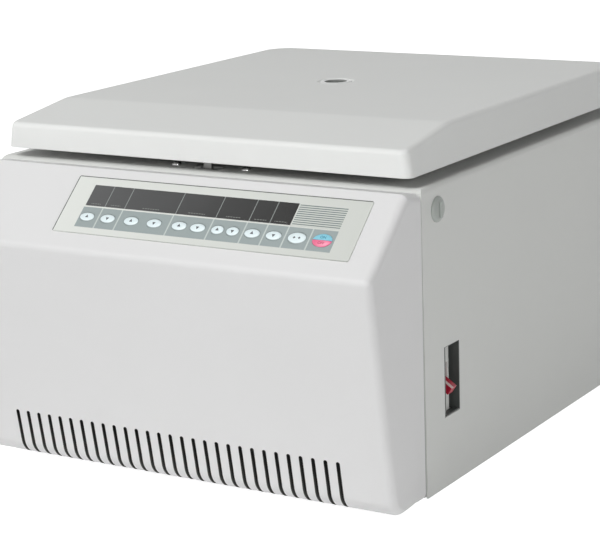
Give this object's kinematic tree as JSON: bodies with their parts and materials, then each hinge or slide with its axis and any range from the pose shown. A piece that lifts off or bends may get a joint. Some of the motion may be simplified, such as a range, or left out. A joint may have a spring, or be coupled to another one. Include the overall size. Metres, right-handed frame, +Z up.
{
  "type": "cytocentrifuge",
  "caption": "Bench-top cytocentrifuge with a hinged lid, sloping control panel, vented front bezel and a rotor that holds slides with sample funnels.",
  "frame": {"origin": "on the bench, under the middle of the case", "axes": "+X to the operator's right, +Y to the back, +Z up"},
  "size_m": [0.435, 0.5444, 0.3171],
  "materials": {
    "case_paint": "satin, fine textured powder coat",
    "bezel_plastic": "satin moulded",
    "overlay_film": "matt printed film",
    "display_film": "smoked gloss",
    "key_film": "satin",
    "start_film": "satin",
    "stop_film": "satin",
    "circuit_board": "solder mask",
    "inner_steel": "zinc plated",
    "bowl_steel": "spun stainless",
    "bright_steel": "bright",
    "motor_alloy": "satin anodised",
    "seal_rubber": "matt",
    "black_plastic": "satin",
    "breaker_plastic": "satin moulded",
    "toggle_plastic": "gloss",
    "plug_plastic": "satin",
    "port_glass": "clear",
    "slide_glass": "clear",
    "card_paper": "matt blotting card",
    "funnel_plastic": "translucent moulded"
  },
  "bodies": {
    "housing": {"base_pan": "inner_steel", "case_wrap": "case_paint", "front_bezel": "bezel_plastic", "rear_panel": "case_paint", "keypad_overlay": "overlay_film", "display_window": "display_film", "control_board": "circuit_board", "chamber_bowl": "bowl_steel", "chamber_seal": "seal_rubber", "motor_posts": "inner_steel", "motor_dampers": "seal_rubber", "motor_plate": "inner_steel", "motor_housing": "motor_alloy", "transformer": "inner_steel", "lock_case": "inner_steel", "solenoid_coil": "black_plastic", "lock_screws": "bright_steel", "breaker_case": "breaker_plastic", "power_inlet": "black_plastic", "rubber_feet": "seal_rubber", "hinge_brackets": "inner_steel"},
    "lid": {"lid_shell": "case_paint", "lid_liner": "bowl_steel", "port_window": "port_glass", "lid_hinge_leaves": "inner_steel", "lid_striker": "bright_steel"},
    "rotor": {"drive_shaft": "bright_steel", "rotor_plate": "motor_alloy", "rotor_nut": "black_plastic", "slide_clips": "bright_steel", "glass_slides": "slide_glass", "filter_cards": "card_paper", "sample_funnels": "funnel_plastic"},
    "breaker_toggle": {"breaker_toggle": "toggle_plastic"},
    "lock_pawl": {"lock_pawl": "bright_steel"},
    "solenoid_plunger": {"solenoid_plunger": "bright_steel"},
    "release_rod": {"release_rod": "bright_steel"},
    "side_plug": {"side_plug": "plug_plastic"},
    "key_up_1": {"key_up_1": "key_film"},
    "key_down_1": {"key_down_1": "key_film"},
    "key_up_2": {"key_up_2": "key_film"},
    "key_down_2": {"key_down_2": "key_film"},
    "key_up_3": {"key_up_3": "key_film"},
    "key_down_3": {"key_down_3": "key_film"},
    "key_up_4": {"key_up_4": "key_film"},
    "key_down_4": {"key_down_4": "key_film"},
    "key_up_5": {"key_up_5": "key_film"},
    "key_down_5": {"key_down_5": "key_film"},
    "key_mode": {"key_mode": "key_film"},
    "key_start": {"key_start": "start_film"},
    "key_stop": {"key_stop": "stop_film"}
  },
  "joints": [
    {"name": "lid_hinge", "type": "hinge", "parent": "housing", "child": "lid", "pos_m": [0, 0.2599, 0.2868], "axis": [-1, 0, 0], "range_deg": [0, 75]},
    {"name": "rotor_spin", "type": "hinge", "parent": "housing", "child": "rotor", "pos_m": [0, 0.064, 0.16], "axis": [0, 0, 1], "continuous": true},
    {"name": "breaker_switch", "type": "hinge", "parent": "housing", "child": "breaker_toggle", "pos_m": [0.1999, -0.13545, 0.104], "axis": [0, -1, 0], "range_deg": [0, 68]},
    {"name": "pawl_turn", "type": "hinge", "parent": "housing", "child": "lock_pawl", "pos_m": [0.03, -0.169, 0.24], "axis": [0, -1, 0], "range_deg": [0, 12]},
    {"name": "plunger_pull", "type": "slide", "parent": "housing", "child": "solenoid_plunger", "axis": [1, 0, 0], "range_m": [0, 0.00251]},
    {"name": "release_pull", "type": "slide", "parent": "housing", "child": "release_rod", "axis": [-1, 0, 0], "range_m": [0, 0.00287]},
    {"name": "plug_pull", "type": "slide", "parent": "housing", "child": "side_plug", "axis": [1, 0, 0], "range_m": [0, 0.03]},
    {"name": "key_up_1_press", "type": "slide", "parent": "housing", "child": "key_up_1", "axis": [0, 0.667, -0.7451], "range_m": [0, 0.0005], "stiffness_N_per_m": 1500, "springref_m": -0.0002},
    {"name": "key_down_1_press", "type": "slide", "parent": "housing", "child": "key_down_1", "axis": [0, 0.667, -0.7451], "range_m": [0, 0.0005], "stiffness_N_per_m": 1500, "springref_m": -0.0002},
    {"name": "key_up_2_press", "type": "slide", "parent": "housing", "child": "key_up_2", "axis": [0, 0.667, -0.7451], "range_m": [0, 0.0005], "stiffness_N_per_m": 1500, "springref_m": -0.0002},
    {"name": "key_down_2_press", "type": "slide", "parent": "housing", "child": "key_down_2", "axis": [0, 0.667, -0.7451], "range_m": [0, 0.0005], "stiffness_N_per_m": 1500, "springref_m": -0.0002},
    {"name": "key_up_3_press", "type": "slide", "parent": "housing", "child": "key_up_3", "axis": [0, 0.667, -0.7451], "range_m": [0, 0.0005], "stiffness_N_per_m": 1500, "springref_m": -0.0002},
    {"name": "key_down_3_press", "type": "slide", "parent": "housing", "child": "key_down_3", "axis": [0, 0.667, -0.7451], "range_m": [0, 0.0005], "stiffness_N_per_m": 1500, "springref_m": -0.0002},
    {"name": "key_up_4_press", "type": "slide", "parent": "housing", "child": "key_up_4", "axis": [0, 0.667, -0.7451], "range_m": [0, 0.0005], "stiffness_N_per_m": 1500, "springref_m": -0.0002},
    {"name": "key_down_4_press", "type": "slide", "parent": "housing", "child": "key_down_4", "axis": [0, 0.667, -0.7451], "range_m": [0, 0.0005], "stiffness_N_per_m": 1500, "springref_m": -0.0002},
    {"name": "key_up_5_press", "type": "slide", "parent": "housing", "child": "key_up_5", "axis": [0, 0.667, -0.7451], "range_m": [0, 0.0005], "stiffness_N_per_m": 1500, "springref_m": -0.0002},
    {"name": "key_down_5_press", "type": "slide", "parent": "housing", "child": "key_down_5", "axis": [0, 0.667, -0.7451], "range_m": [0, 0.0005], "stiffness_N_per_m": 1500, "springref_m": -0.0002},
    {"name": "key_mode_press", "type": "slide", "parent": "housing", "child": "key_mode", "axis": [0, 0.667, -0.7451], "range_m": [0, 0.0005], "stiffness_N_per_m": 1500, "springref_m": -0.0002},
    {"name": "key_start_press", "type": "slide", "parent": "housing", "child": "key_start", "axis": [0, 0.667, -0.7451], "range_m": [0, 0.0005], "stiffness_N_per_m": 1500, "springref_m": -0.0002},
    {"name": "key_stop_press", "type": "slide", "parent": "housing", "child": "key_stop", "axis": [0, 0.667, -0.7451], "range_m": [0, 0.0005], "stiffness_N_per_m": 1500, "springref_m": -0.0002}
  ],
  "couplings": [
    {"joint": "plunger_pull", "follows": "pawl_turn", "m_per_rad": 0.012},
    {"joint": "release_pull", "follows": "pawl_turn", "m_per_rad": 0.0137}
  ]
}
